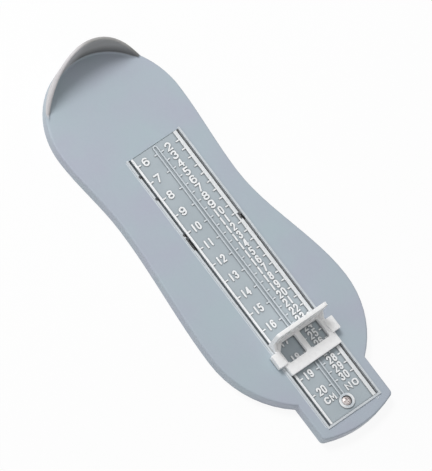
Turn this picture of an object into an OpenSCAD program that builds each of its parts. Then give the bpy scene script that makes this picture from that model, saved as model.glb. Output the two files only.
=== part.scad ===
// Foot measuring device: a foot-shaped plate with a curved heel wall, a screwed-in
// scale panel, and a toe stop that slides along it and shows the length of the foot.
// Millimetres, +Z up, X runs from heel to tail. The part is drawn with x = 0 at the
// inner face of the heel wall and y = 0 on the scale's axis, then centred by centred().

/* [Sole outline] */
// Sideways place of the heel's centre, measured from the scale's axis
heel_y = -5.8; // [-9:0.1:-3]
// Width of the heel where it is widest
heel_w = 72.2; // [64:0.1:78]
// Distance from the heel wall to the widest place of the heel on the arch side
heel_arch_x = 39; // [34:0.5:50]
// Distance from the heel wall to the widest place of the heel on the outer side
heel_outer_x = 36; // [34:0.5:50]
// Distance from the heel wall to the narrowest place of the waist on the arch side
waist_arch_x = 88.5; // [75:0.5:100]
// Distance from the heel wall to the narrowest place of the waist on the outer side
waist_outer_x = 80; // [70:0.5:95]
// Waist, from the scale's axis to the edge on the arch side
waist_arch_y = 27.7; // [23:0.1:32]
// Waist, from the scale's axis to the edge on the outer side
waist_outer_y = 38.3; // [33:0.1:42]
// Distance from the heel wall to the widest place of the ball on the arch side
ball_arch_x = 160.7; // [150:0.1:168]
// Ball, from the scale's axis to the edge on the arch side
ball_arch_y = 40.2; // [34:0.1:44]
// Distance from the heel wall to the widest place of the ball on the outer side
ball_outer_x = 157.9; // [148:0.1:166]
// Ball, from the scale's axis to the edge on the outer side
ball_outer_y = 42.9; // [37:0.1:48]
// Radius of the front of the ball on the arch side
ball_arch_r = 48.6; // [44:0.1:56]
// Radius of the front of the ball on the outer side
ball_outer_r = 52.7; // [49:0.1:60]

/* [Tail] */
// Width of the tail that carries the end of the scale
tail_w = 43.5; // [40:0.1:50]
// Flat land of the tail beyond the tail end of the slots
tail_land = 8.3; // [8:0.1:20]
// How far the tail's rounded end bows out
tail_bow = 4.3; // [2:0.1:6]
// Radius of the tail's corners
tail_r = 2.3; // [2.2:0.1:5]

/* [Moulding] */
// Height of the sole's flat top above the table
plate_h = 6.5; // [6:0.1:9]
// Thickness of the sole's top skin
skin_t = 2; // [1.6:0.1:2.4]
// Thickness of the skirt round the edge
skirt_t = 1.8; // [1.2:0.1:2]
// Thickness of the heel wall
wall_t = 1.8; // [1.4:0.1:2]
// Height of the heel wall above the sole
wall_h = 21; // [12:0.5:30]
// Distance from the back of the heel wall to where its top meets the sole
wall_reach = 16.8; // [11:0.1:22]
// Radius of the fillet between the heel wall and the sole
base_r = 1.5; // [0.8:0.1:2.5]
// Thickness of the ribs under the sole
rib_t = 1.2; // [0.8:0.1:1.8]
// Spacing of the ribs across the sole
rib_pitch = 26; // [18:1:40]
// Height of the ribs' lower edges above the table
rib_lift = 0.8; // [0.3:0.1:1.5]

/* [Scale slots] */
// Distance from the heel wall to the heel end of the slots
slot_x0 = 55.6; // [52:0.1:57]
// Distance from the heel wall to the tail end of the slots
slot_x1 = 216.8; // [214:0.1:218]
// Sideways distance between the centres of the two slots
slot_pitch = 30; // [28:0.1:32]
// Width of each slot
slot_w = 1.35; // [1.1:0.05:1.6]
// Width of the raised lips beside the slots
lip_w = 1.1; // [0.7:0.1:1.5]
// Height of the raised lips above the sole
lip_h = 0.5; // [0.3:0.05:0.8]
// Depth of the stiffening frame round the slots, below the top skin
rail_h = 3; // [2:0.1:3.4]
// Distance from the slots to the stiffening frame
rail_set = 1; // [0.8:0.1:2]
// Distance from the heel wall to the first small nick in the outer slot
nick_a = 64.4; // [60:0.1:70]
// Distance from the heel wall to the second small nick
nick_b = 77.8; // [72:0.1:90]
// Distance from the heel wall to the third small nick
nick_c = 99.9; // [92:0.1:100]
// Length of each small nick
nick_len = 1.6; // [0.8:0.1:2]

/* [Scale panel] */
// Thickness of the panel
panel_t = 2; // [1.6:0.1:2.4]
// Depth of the panel's face below the sole's top
panel_drop = 0.2; // [0:0.05:0.5]
// Gap between the panel's ends and the sole
panel_gap = 0.15; // [0.1:0.05:0.4]
// Width of the raised lip along the panel's arch side
arch_lip_w = 1.9; // [1.4:0.1:2.4]
// Distance from the heel wall to the zero of the scale
scale_zero = 0.5; // [0:0.1:1]
// Height of the raised marks on the panel
mark_h = 0.5; // [0.2:0.05:0.6]
// Thickness of the tick marks
tick_t = 0.7; // [0.3:0.05:0.8]
// Length of the ticks beside the slots
tick_len = 1.8; // [1:0.1:2.4]
// Length of the ticks beside the centre bead
tick_short = 1.5; // [0.8:0.1:2]
// First centimetre of the scale
first_cm = 6; // [6:1:9]
// Last centimetre of the scale
last_cm = 20; // [16:1:20]
// Width of each line of the centre bead
bead_w = 0.75; // [0.4:0.05:1]
// Distance across the centre bead, over both lines
bead_span = 2.7; // [2:0.1:3.4]
// Depth of the stiffening ribs under the panel
panel_rib_h = 2.8; // [1.5:0.1:3]
// Sideways distance between the panel's stiffening ribs
panel_rib_pitch = 19; // [15:0.5:21]
// Distance from the heel wall to the tail end of the entries for the slider's hooks
entry_x = 109.7; // [108.5:0.1:125]
// Clearance round the hooks in their entries
entry_gap = 0.3; // [0.2:0.05:0.5]

/* [Panel screw] */
// Distance from the screw to the tail end of the slots
screw_inset = 5.4; // [5.3:0.1:7.5]
// Diameter of the screw's head
head_d = 5; // [4.4:0.1:5.4]
// Height of the screw's head
head_h = 1.4; // [1.1:0.1:1.5]
// Diameter of the screw's shank
shank_d = 2.6; // [2.2:0.1:3]
// Length of the screw under its head
shank_len = 4.4; // [3.5:0.1:4.5]
// Diameter of the raised collar round the screw's head
collar_d = 7.8; // [7.4:0.1:9]
// Length of the cross recess
recess_len = 3; // [2:0.1:3.6]
// Width of the cross recess
recess_w = 0.8; // [0.5:0.1:1]
// Depth of the cross recess
recess_d = 0.7; // [0.4:0.1:0.8]
// Diameter of the boss that the screw bites into
boss_d = 6.4; // [5.6:0.2:8]

/* [Toe slider] */
// Foot length that the toe stop shows at rest
reading = 167.3; // [100:0.1:195]
// Length of the slider along the scale
slider_len = 19; // [18.5:0.1:21]
// Width of the slider's frame
slider_w = 31.2; // [31.2:0.1:36]
// Height of the slider's frame
frame_h = 2.2; // [2:0.1:3.5]
// Thickness of the upright toe stop
stop_t = 2; // [1.5:0.1:3]
// Height of the toe stop above the slider's underside
stop_h = 16.5; // [10:0.5:22]
// Radius of the toe stop's upper corners
stop_r = 1.5; // [0.5:0.1:4]
// Width of the bar at the back of the frame
rear_bar = 5.7; // [4:0.1:6.5]
// Width of the bar between the two windows
mid_bar = 2.8; // [2:0.1:4]
// Width of the bars along the frame's sides
side_bar = 2.7; // [2.4:0.1:3.5]
// How far the windows sit off the middle, towards the outer side
window_shift = 0.4; // [0:0.1:0.8]
// Width of the bar behind the toe stop
front_bar = 0.8; // [0.4:0.1:1.5]
// Radius of the windows' corners
window_r = 0.8; // [0.5:0.1:1.2]
// Cut across the heel-side corner of the window on the outer side
corner_cut = 3.4; // [2:0.1:4]
// Radius of the frame's and the finger tabs' own corners
frame_r = 0.6; // [0.3:0.1:0.8]
// Length of the finger tabs along the scale
tab_len = 7.4; // [5:0.1:9]
// Distance from the toe stop's face to the finger tabs
tab_x = 5.6; // [4:0.1:6]
// How far the finger tabs stand out from the frame
tab_out = 3.6; // [2:0.1:5]
// Height of the finger tabs above the slider's underside
tab_h = 3.4; // [2.8:0.1:5]
// Length of the gussets behind the toe stop
gusset_len = 2.8; // [2:0.1:3.4]
// Height of the gussets above the frame
gusset_h = 4.5; // [2:0.1:6]
// Thickness of the gussets
gusset_t = 1.6; // [1:0.1:2]
// Thickness of the slider's legs
leg_t = 0.8; // [0.6:0.05:0.9]
// Length of the slider's legs along the slots
leg_len = 9; // [6:0.5:11]
// Distance from the toe stop's face to the legs
leg_x = 4; // [3:0.5:6]
// Length of the hook on the outer side
outer_hook_len = 6.8; // [5:0.1:7]
// How far the hook on the outer side reaches under the sole
outer_hook_out = 0.65; // [0.5:0.05:0.7]
// Length of the hook on the arch side
arch_hook_len = 3; // [2:0.1:4]
// How far the hook on the arch side reaches under the panel
arch_hook_out = 1.1; // [0.8:0.05:1.2]
// Height of each hook
hook_h = 1; // [0.8:0.1:1.2]
// Clearance between the slider and what it runs on
run_gap = 0.1; // [0.05:0.01:0.2]

/* [Hidden] */
eps = 0.01;
bite = 0.5;
past = 1;
cm = 10;
fine = 96;
round = 64;
small = 32;
plastic = "lightsteelblue";

heel_half = heel_w / 2;
tail_x = slot_x1 + tail_land;
tail_half = tail_w / 2;
tail_end_r = (tail_half * tail_half + tail_bow * tail_bow) / (2 * tail_bow);
tail_end_x = tail_x - tail_end_r;
corner_x = tail_end_x + sqrt(pow(tail_end_r - tail_r, 2) - pow(tail_half - tail_r, 2));
edge_r = wall_t / 2;

ceiling_z = plate_h - skin_t;
slot_y = slot_pitch / 2;
open_half = slot_y + slot_w / 2;
panel_half = slot_y - slot_w / 2;
panel_top = plate_h - panel_drop;
panel_z = panel_top - panel_t;
panel_x0 = slot_x0 + panel_gap;
panel_x1 = slot_x1 - panel_gap;
rail_y = open_half + rail_set + rib_t / 2;
screw_x = slot_x1 - screw_inset;
outer_edge = panel_half - lip_w;
arch_edge = panel_half - arch_lip_w;

// Seats of the panel: a shelf at each end, and a tongue that tucks under the heel end
shelf_t = 1.8;
shelf_len = 10;
shelf_gap = 0.5;
shelf_half = panel_rib_pitch / 2 - rib_t / 2 - shelf_gap;
tongue_t = 0.9;
tongue_len = 2.6;
tongue_neck = 3;
tongue_half = 5;
tongue_gap = 0.1;
tongue_z = min(panel_z, ceiling_z) - tongue_gap - tongue_t;

bore_gap = 0.05;
hole_gap = 0.3;
head_sink = 0.05;
seat_z = plate_h + lip_h - head_sink - head_h;
head_side = 0.45;
bead_margin = 0.3;
flare = 0.1;

slide_z = plate_h + lip_h + run_gap;
frame_half = slider_w / 2;
window_x0 = stop_t + front_bar;
window_x1 = slider_len - rear_bar;
window_y0 = mid_bar / 2;
window_y1 = frame_half - side_bar;
hook_top = min(panel_z, ceiling_z) - run_gap;
foot_z = hook_top - hook_h;
leg_y = slot_y - leg_t / 2;
hook_slope = 0.6;

// Depth of the outer hook's entry, and of the nicks, in the sole's slot edge; then the
// depth of the arch hook's entry in the panel's edge
entry_d_outer = slot_y + leg_t / 2 + outer_hook_out + entry_gap - open_half;
entry_d_arch = panel_half - (leg_y - arch_hook_out - entry_gap);
function entry_len(hook_len) = hook_len + 2 * entry_gap;

function swing(t) = t * t * (3 - 2 * t);
function reversed(v) = [for (i = [len(v) - 1:-1:0]) v[i]];

// One side of the sole from the back of the heel to the tip of the tail, as distances out
// from the scale's axis: a quarter ellipse, two swings through the waist, the ball's arc,
// the straight side of the tail, its corner and half of its bowed end.
function side(heel_c, heel_x, out_y, waist_x, waist_y, ball_x, ball_y, ball_r) =
    let (ball_end = acos((ball_r - ball_y + tail_half) / ball_r),
         corner_a = atan2(tail_half - tail_r, corner_x - tail_end_x))
    concat(
        [for (a = [0:5:85])
            [heel_x - (heel_x + wall_t) * cos(a), heel_c + (out_y - heel_c) * sin(a)]],
        [for (i = [0:7])
            [heel_x + (waist_x - heel_x) * i / 8, out_y + (waist_y - out_y) * swing(i / 8)]],
        [for (i = [0:11])
            [waist_x + (ball_x - waist_x) * i / 12, waist_y + (ball_y - waist_y) * swing(i / 12)]],
        [for (i = [0:9])
            [ball_x + ball_r * sin(ball_end * i / 9), ball_y - ball_r * (1 - cos(ball_end * i / 9))]],
        [for (i = [0:3])
            let (a = 90 + (corner_a - 90) * i / 3)
            [corner_x + tail_r * cos(a), tail_half - tail_r + tail_r * sin(a)]],
        [for (i = [1:3])
            [tail_end_x + tail_end_r * cos(corner_a * (1 - i / 4)),
             tail_end_r * sin(corner_a * (1 - i / 4))]]);

arch_side = side(heel_y, heel_arch_x, heel_y + heel_half, waist_arch_x, waist_arch_y,
                 ball_arch_x, ball_arch_y, ball_arch_r);
outer_side = side(-heel_y, heel_outer_x, heel_half - heel_y, waist_outer_x, waist_outer_y,
                  ball_outer_x, ball_outer_y, ball_outer_r);

// The sole's outline, counterclockwise from the back of the heel
outline = concat(
    [for (p = outer_side) [p[0], -p[1]]],
    [[tail_x, 0]],
    reversed([for (i = [1:len(arch_side) - 1]) arch_side[i]]));
count = len(outline);
middle = [(min([for (p = outline) p[0]]) + max([for (p = outline) p[0]])) / 2,
          (min([for (p = outline) p[1]]) + max([for (p = outline) p[1]])) / 2];

// Inward mitre at each point of the outline, as long as an inset of 1 mm asks
function unit(v) = v / norm(v);
function mitre(i) =
    let (d1 = unit(outline[i] - outline[(i + count - 1) % count]),
         d2 = unit(outline[(i + 1) % count] - outline[i]))
    [-d1[1] - d2[1], d1[0] + d2[0]] / (1 + d1 * d2);
inward = [for (i = [0:count - 1]) mitre(i)];

// Height of the heel wall above the sole at a distance x from the scale's zero
function rise(x) = wall_h * max(0, 1 - (x + wall_t) / wall_reach);

// Section through the edge where the wall stands h above the sole, as [inset, z]: from
// the underside of the skin down the skirt, up the outside, over the rounded top, down
// the inside of the wall and out through the fillet onto the sole. The flare keeps the
// fillet's points apart where there is no wall.
function rim(h) =
    let (top = plate_h + h,
         spread = min(1, h / base_r))
    concat(
        [[skirt_t, ceiling_z], [skirt_t, 0], [0, 0]],
        [for (a = [0:30:90]) [edge_r * (1 - cos(a)), top - edge_r * (1 - sin(a))]],
        [for (a = [60:-30:0])
            [wall_t - edge_r * (1 - cos(a)), max(plate_h, top - edge_r * (1 - sin(a)))]],
        [for (a = [30:30:90])
            [wall_t + base_r * (1 - cos(a)) * spread + flare * a / 90,
             plate_h + min(h, base_r) * (1 - sin(a))]]);

module centred() {
    translate([-middle[0], -middle[1], 0])
        children();
}

module mirror_y() {
    children();
    mirror([0, 1, 0])
        children();
}

// A skin through equal rings of points, closed by a cap at each end
module loft(rings) {
    n = len(rings[0]);
    last = len(rings) - 1;
    polyhedron(
        points = [for (ring = rings) each ring],
        faces = concat(
            [[for (i = [0:n - 1]) i]],
            [for (k = [0:last - 1], i = [0:n - 1])
                let (j = (i + 1) % n)
                each [[k * n + i, (k + 1) * n + j, k * n + j],
                      [k * n + i, (k + 1) * n + i, (k + 1) * n + j]]],
            [[for (i = [n - 1:-1:0]) last * n + i]]),
        convexity = 6);
}

module sole_shell() {
    sections = [for (p = outline) rim(rise(p[0]))];
    loft([for (k = [0:len(sections[0]) - 1])
        [for (i = [0:count - 1])
            let (at = outline[i] + inward[i] * sections[i][k][0])
            [at[0], at[1], sections[i][k][1]]]]);
}

// The outline of the sole, drawn in by an inset
module sole_2d(inset) {
    polygon([for (i = [0:count - 1]) outline[i] + inward[i] * inset]);
}

// Ribs across the sole and one along each side, cut off at the skirt and at the frame
module ribs_2d() {
    difference() {
        intersection() {
            sole_2d(skirt_t - bite);
            union() {
                for (x = [rib_pitch:rib_pitch:tail_x])
                    translate([x - rib_t / 2, -ball_outer_y])
                        square([rib_t, ball_outer_y + ball_arch_y]);
                for (y = [-(rail_y + waist_outer_y) / 2, (rail_y + waist_arch_y) / 2])
                    translate([rib_pitch, y - rib_t / 2])
                        square([ball_arch_x - rib_pitch, rib_t]);
            }
        }
        opening_rect_2d(rail_set + rib_t / 2);
    }
}

// The rectangle of the opening for the panel and the slots, grown by a margin
module opening_rect_2d(margin) {
    translate([slot_x0 - margin, -open_half - margin])
        square([slot_x1 - slot_x0 + 2 * margin, 2 * (open_half + margin)]);
}

module stiffening_frame_2d() {
    difference() {
        opening_rect_2d(rail_set + rib_t);
        opening_rect_2d(rail_set);
    }
}

// The opening, with the entry for the outer hook and the small nicks in its outer edge
module opening_2d() {
    reach = open_half + entry_d_outer;
    opening_rect_2d(0);
    translate([entry_x - entry_len(outer_hook_len), -reach])
        square([entry_len(outer_hook_len), reach]);
    for (x = [nick_a, nick_b, nick_c])
        translate([x, -reach])
            square([nick_len, reach]);
}

// Raised lip along the outer edges of the two slots and across their tail end
module outer_lip_2d() {
    start = slot_x0 - lip_w / 2;
    difference() {
        translate([start, -open_half - lip_w])
            square([slot_x1 + lip_w - start, 2 * (open_half + lip_w)]);
        translate([start - past, -open_half])
            square([slot_x1 + past - start, 2 * open_half]);
    }
}

// Shelf that carries one end of the panel, from its root under the sole
module shelf(x0, x1) {
    translate([x0, -shelf_half, panel_z - shelf_t])
        cube([x1 - x0, 2 * shelf_half, shelf_t]);
}

module sole_plate() {
    color(plastic)
        centred()
            difference() {
                union() {
                    difference() {
                        union() {
                            sole_shell();
                            translate([0, 0, rib_lift])
                                linear_extrude(ceiling_z - rib_lift + bite)
                                    ribs_2d();
                            translate([0, 0, ceiling_z - rail_h])
                                linear_extrude(rail_h + bite)
                                    stiffening_frame_2d();
                            translate([0, 0, plate_h - bite])
                                linear_extrude(lip_h + bite)
                                    outer_lip_2d();
                        }
                        translate([0, 0, ceiling_z - past])
                            linear_extrude(skin_t + lip_h + 2 * past)
                                opening_2d();
                    }
                    shelf(slot_x0 - rail_set - rib_t, slot_x0 + shelf_len);
                    shelf(slot_x1 - shelf_len, slot_x1 + rail_set + rib_t);
                    translate([screw_x, 0, rib_lift])
                        cylinder(d = boss_d, h = panel_z - rib_lift, $fn = round);
                }
                tongue_pocket();
                // Bore for the screw
                translate([screw_x, 0, -past])
                    cylinder(d = shank_d + 2 * bore_gap, h = panel_z + 2 * past, $fn = round);
            }
}

// Pocket in the shelf and under the sole's skin for the panel's tongue
module tongue_pocket() {
    width = 2 * (tongue_half + hole_gap);
    translate([slot_x0 - tongue_len - hole_gap, -width / 2, tongue_z])
        cube([tongue_len + 2 * hole_gap, width, ceiling_z - tongue_z]);
    translate([slot_x0, -width / 2, tongue_z])
        cube([tongue_neck + hole_gap, width, shelf_t]);
}

// The keyhole-shaped bead along the middle of the panel
module bead_2d() {
    difference() {
        round_bar_2d(bead_span);
        round_bar_2d(bead_span - 2 * bead_w);
    }
}

// A bar from the heel end of the bead to the screw, round at its heel end
module round_bar_2d(width) {
    start = panel_x0 + bead_margin + bead_span / 2;
    translate([start, 0])
        circle(d = width, $fn = round);
    translate([start, -width / 2])
        square([screw_x - start, width]);
}

// A tick on a line across the scale, from y to y + length
module tick(reading, y, length) {
    translate([scale_zero + reading - tick_t / 2, y])
        square([tick_t, length]);
}

// Centimetre ticks on one side of the bead, half-centimetre ticks on the other
module ticks_2d() {
    for (c = [first_cm:last_cm]) {
        tick(c * cm, -outer_edge - eps, tick_len);
        tick(c * cm, -bead_span / 2 - tick_short, tick_short + eps);
    }
    for (c = [first_cm:0.5:last_cm]) {
        tick(c * cm, arch_edge - tick_len, tick_len + eps);
        tick(c * cm, bead_span / 2 - eps, tick_short);
    }
}

module panel_marks_2d() {
    difference() {
        union() {
            bead_2d();
            ticks_2d();
        }
        translate([screw_x, 0])
            circle(d = collar_d - bite, $fn = round);
    }
}

module panel_2d() {
    difference() {
        translate([panel_x0, -panel_half])
            square([panel_x1 - panel_x0, 2 * panel_half]);
        arch_entry_2d();
    }
}

// Entry for the slider's hook in the arch-side edge of the panel
module arch_entry_2d() {
    length = entry_len(arch_hook_len);
    translate([entry_x - length, panel_half - entry_d_arch])
        square([length, entry_d_arch + past]);
}

// Raised lips: a narrow one on the outer side and a wide one on the arch side
module panel_lips_2d() {
    difference() {
        union() {
            translate([panel_x0, -panel_half])
                square([panel_x1 - panel_x0, lip_w]);
            translate([panel_x0, arch_edge])
                square([panel_x1 - panel_x0, arch_lip_w]);
        }
        arch_entry_2d();
    }
}

module panel_ribs() {
    start = slot_x0 + shelf_len + shelf_gap;
    end = slot_x1 - shelf_len - shelf_gap;
    mirror_y()
        translate([start, panel_rib_pitch / 2 - rib_t / 2, panel_z - panel_rib_h])
            cube([end - start, rib_t, panel_rib_h + eps]);
    for (x = [start, (start + end) / 2 - rib_t / 2, end - rib_t])
        translate([x, -panel_rib_pitch / 2, panel_z - panel_rib_h])
            cube([rib_t, panel_rib_pitch, panel_rib_h + eps]);
}

module scale_panel() {
    color(plastic)
        centred()
            difference() {
                union() {
                    translate([0, 0, panel_z])
                        linear_extrude(panel_t)
                            panel_2d();
                    translate([0, 0, panel_top - eps])
                        linear_extrude(mark_h + eps)
                            panel_marks_2d();
                    translate([0, 0, panel_top - eps])
                        linear_extrude(panel_drop + lip_h + eps)
                            panel_lips_2d();
                    translate([screw_x, 0, panel_top - eps])
                        cylinder(d = collar_d, h = panel_drop + lip_h + eps, $fn = round);
                    panel_ribs();
                    tongue();
                }
                translate([screw_x, 0, seat_z])
                    cylinder(d = head_d + hole_gap, h = plate_h, $fn = round);
                translate([screw_x, 0, panel_z - past])
                    cylinder(d = shank_d + hole_gap, h = plate_h, $fn = round);
            }
}

// Tongue that reaches from the panel's heel end under the sole's skin
module tongue() {
    bottom = tongue_z + tongue_gap / 2;
    translate([slot_x0 - tongue_len, -tongue_half, bottom])
        cube([tongue_len + tongue_neck, 2 * tongue_half, tongue_t]);
    translate([panel_x0, -tongue_half, bottom])
        cube([slot_x0 + tongue_neck - panel_x0, 2 * tongue_half, panel_z - bottom + eps]);
}

// Low round head with a cross recess, and a plain shank
module panel_screw() {
    color("lightgray")
        centred()
            translate([screw_x, 0, seat_z])
                difference() {
                    union() {
                        rotate_extrude($fn = round)
                            head_profile();
                        translate([0, 0, -shank_len])
                            cylinder(d = shank_d, h = shank_len + eps, $fn = round);
                    }
                    for (a = [0, 90])
                        rotate([0, 0, a])
                            translate([-recess_len / 2, -recess_w / 2, head_h - recess_d])
                                cube([recess_len, recess_w, head_h]);
                }
}

// Half of the head: flat seat, short side, and a dome
module head_profile() {
    crown = head_h * (1 - head_side);
    dome_r = (pow(head_d / 2, 2) + crown * crown) / (2 * crown);
    intersection() {
        square([head_d / 2, head_h]);
        translate([0, head_h - dome_r])
            circle(r = dome_r, $fn = fine);
    }
}

// Upright plate across the scale, seen from the heel, with rounded upper corners
module toe_stop() {
    rotate([90, 0, 90])
        linear_extrude(stop_t)
            union() {
                translate([-frame_half, 0])
                    square([slider_w, stop_h - stop_r]);
                translate([-frame_half + stop_r, 0])
                    square([slider_w - 2 * stop_r, stop_h]);
                mirror_x()
                    translate([frame_half - stop_r, stop_h - stop_r])
                        circle(r = stop_r, $fn = small);
            }
}

module mirror_x() {
    children();
    mirror([1, 0, 0])
        children();
}

// A rectangle with round corners
module round_rect_2d(x0, x1, y0, y1, r) {
    translate([x0 + r, y0])
        square([x1 - x0 - 2 * r, y1 - y0]);
    translate([x0, y0 + r])
        square([x1 - x0, y1 - y0 - 2 * r]);
    for (x = [x0 + r, x1 - r], y = [y0 + r, y1 - r])
        translate([x, y])
            circle(r = r, $fn = small);
}

// The frame in plan: two windows, and finger tabs beside them
module frame_2d() {
    difference() {
        round_rect_2d(0, slider_len, -frame_half, frame_half, frame_r);
        translate([0, -window_shift])
            difference() {
                mirror_y()
                    round_rect_2d(window_x0, window_x1, window_y0, window_y1, window_r);
                translate([window_x0, -window_y1])
                    polygon([[0, 0], [corner_cut, 0], [0, corner_cut]]);
            }
    }
}

// A finger tab, lying over the side bar and standing out from it
module finger_tab() {
    linear_extrude(tab_h)
        round_rect_2d(tab_x, tab_x + tab_len, frame_half - side_bar / 2, frame_half + tab_out,
                      frame_r);
}

// Triangle behind one end of the toe stop
module gusset() {
    translate([stop_t - eps, frame_half, frame_h - eps])
        rotate([90, 0, 0])
            linear_extrude(gusset_t)
                polygon([[0, 0], [gusset_len, 0], [0, gusset_h]]);
}

// Leg that goes down through the slot
module leg() {
    translate([leg_x, leg_y, foot_z - slide_z])
        cube([leg_len, leg_t, slide_z - foot_z + eps]);
}

// Hook at the tail end of a leg, reaching towards -y from the leg's face at y
module hook(length, y, out) {
    translate([leg_x + leg_len, 0, foot_z - slide_z])
        rotate([90, 0, -90])
            linear_extrude(length)
                polygon([[-y - leg_t, 0], [-y, 0], [-y + out, hook_h * hook_slope],
                         [-y + out, hook_h], [-y - leg_t, hook_h]]);
}

module toe_slider() {
    color("white")
        centred()
            translate([scale_zero + reading, 0, slide_z])
                union() {
                    linear_extrude(frame_h)
                        frame_2d();
                    toe_stop();
                    mirror_y() {
                        finger_tab();
                        gusset();
                        leg();
                    }
                    hook(arch_hook_len, leg_y, arch_hook_out);
                    hook(outer_hook_len, -leg_y - leg_t, outer_hook_out);
                }
}

sole_plate();
scale_panel();
panel_screw();
toe_slider();
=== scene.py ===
# %% [markdown]
# # A foot gauge in moulded plastic
# The object is a flat, foot-shaped plate with a curved heel wall. A numbered scale runs
# along its middle between two slots, and a white toe stop slides in the slots. The solids
# could be modelled a second time here, but two models of one thing soon differ, so they come
# ready made and are only given finishes. What is added is what a mould maker cuts last: the
# raised numbers and letters of the scale, and the small marks of the mould.

# %% Load the solids
import math

import bmesh
import bpy
from mathutils import Matrix, Vector


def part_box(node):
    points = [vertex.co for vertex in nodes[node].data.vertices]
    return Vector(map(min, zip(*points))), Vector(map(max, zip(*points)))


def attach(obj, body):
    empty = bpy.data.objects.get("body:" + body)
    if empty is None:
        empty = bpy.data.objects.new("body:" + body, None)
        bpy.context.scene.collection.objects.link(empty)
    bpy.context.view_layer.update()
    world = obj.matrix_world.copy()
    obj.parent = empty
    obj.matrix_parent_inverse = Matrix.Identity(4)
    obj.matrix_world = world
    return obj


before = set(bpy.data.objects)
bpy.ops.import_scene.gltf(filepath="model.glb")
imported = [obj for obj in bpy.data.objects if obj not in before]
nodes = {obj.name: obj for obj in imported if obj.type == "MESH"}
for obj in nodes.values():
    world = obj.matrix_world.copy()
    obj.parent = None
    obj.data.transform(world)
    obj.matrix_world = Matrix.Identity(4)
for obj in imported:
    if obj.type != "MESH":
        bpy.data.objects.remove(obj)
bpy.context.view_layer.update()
mm = 0.001

# %% [markdown]
# ## Finding the scale
# Everything on the scale is placed from three facts: where its zero lies, where its middle
# line runs and how high the panel's face is. They could be typed in as coordinates, but the
# panel's own box gives them, so the numbers stay on the panel if it is ever moved.

# %% Places on the scale
panel_low, panel_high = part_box("scale_panel")
zero_to_panel_end = 216.15 * mm
lip_above_face = 0.7 * mm
scale_zero_x = panel_high.x - zero_to_panel_end
scale_axis_y = (panel_low.y + panel_high.y) / 2
half_panel = (panel_high.y - panel_low.y) / 2
face_z = panel_high.z - lip_above_face
print("scale zero at x", round(scale_zero_x / mm, 2), "axis at y", round(scale_axis_y / mm, 2))

# %% [markdown]
# ## The camera
# The gauge was looked down on from far away with a long lens, so its edges hardly converge.
# A parallel camera would do nearly the same, but a real lens at a real distance keeps the
# small convergence of the ticks. The camera is turned about its own axis so that the heel
# points to the upper left.

# %% Camera
image_w, image_h = 432, 471
view_azimuth = math.radians(17.34)
view_elevation = math.radians(65.8)
view_roll = math.radians(-36.9)
view_distance = 4.6
# Pixels of the picture to one metre of the gauge
px_per_m = 2068.6
sensor = 36.0
aim_right, aim_up = -0.5 * mm, 3.5 * mm

level_right = Vector((math.cos(view_azimuth), math.sin(view_azimuth), 0))
towards_camera = Vector((
    math.sin(view_azimuth) * math.cos(view_elevation),
    -math.cos(view_azimuth) * math.cos(view_elevation),
    math.sin(view_elevation),
))
level_up = towards_camera.cross(level_right)
image_right = level_right * math.cos(view_roll) - level_up * math.sin(view_roll)
image_up = level_right * math.sin(view_roll) + level_up * math.cos(view_roll)
aim = image_right * aim_right + image_up * aim_up

camera = bpy.data.objects.new("camera", bpy.data.cameras.new("camera"))
bpy.context.scene.collection.objects.link(camera)
camera.data.sensor_width = sensor
camera.data.lens = sensor * px_per_m * view_distance / max(image_w, image_h)
camera.data.clip_end = 3 * view_distance
camera.location = aim + towards_camera * view_distance
camera.rotation_mode = "QUATERNION"
camera_turn = Matrix((image_right, image_up, towards_camera)).transposed()
camera.rotation_quaternion = camera_turn.to_quaternion()
bpy.context.scene.camera = camera
print("lens", round(camera.data.lens), "mm at", view_distance, "m")

# %% [markdown]
# ## Small helpers for shader trees
# A finish is a tree of small nodes. Clicking it together by hand is the usual way; in a
# script the same few moves come back all the time, so each gets a short helper: add a node,
# feed a socket, spread a value over a range, and blend two colours.

# %% Tree helpers
def add(tree, kind, **settings):
    """A new shader node with its settings."""
    node = tree.nodes.new(kind)
    for name, value in settings.items():
        setattr(node, name, value)
    return node


def feed(tree, socket, value):
    """Joins a socket to another node's output, or sets it to a plain value."""
    if isinstance(value, bpy.types.NodeSocket):
        tree.links.new(value, socket)
    elif isinstance(value, tuple) and socket.type == "RGBA":
        socket.default_value = (*value, 1)
    else:
        socket.default_value = value


def spread(tree, value, low, high, to_low=0.0, to_high=1.0, soft=False):
    """Maps low..high to to_low..to_high and holds it beyond both ends."""
    node = add(tree, "ShaderNodeMapRange", clamp=True)
    node.interpolation_type = "SMOOTHSTEP" if soft else "LINEAR"
    for name, item in zip(("Value", "From Min", "From Max", "To Min", "To Max"),
                          (value, low, high, to_low, to_high)):
        feed(tree, node.inputs[name], item)
    return node.outputs["Result"]


def blend_colours(tree, share, first, second):
    """The first colour where share is 0, the second where it is 1."""
    node = add(tree, "ShaderNodeMix", data_type="RGBA")
    # The node has sockets for every kind of data; 6 and 7 are its pair of colours
    for socket, item in zip((node.inputs[0], node.inputs[6], node.inputs[7]),
                            (share, first, second)):
        feed(tree, socket, item)
    return node.outputs[2]


print("helpers: add, feed, spread, blend_colours")

# %% [markdown]
# ## Sums in a tree
# Where a finish changes is settled by sums: is this point high enough, is it near enough to
# a slot? A script node could hold the whole formula, but not every renderer runs one, so
# small Math nodes take one step each. The last helper tells looking from lighting. A ray
# that the camera sends, or that reaches it off a mirror or through glass, may see another
# colour than the rays that light the gauge.

# %% Sums in a tree
def reckon(tree, operation, *values):
    """One step of arithmetic on one, two or three values."""
    node = add(tree, "ShaderNodeMath", operation=operation)
    for socket, item in zip(node.inputs, values):
        feed(tree, socket, item)
    return node.outputs[0]


def parts_of(tree, point):
    """The x, y and z of a point."""
    node = add(tree, "ShaderNodeSeparateXYZ")
    feed(tree, node.inputs[0], point)
    return node.outputs


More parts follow.
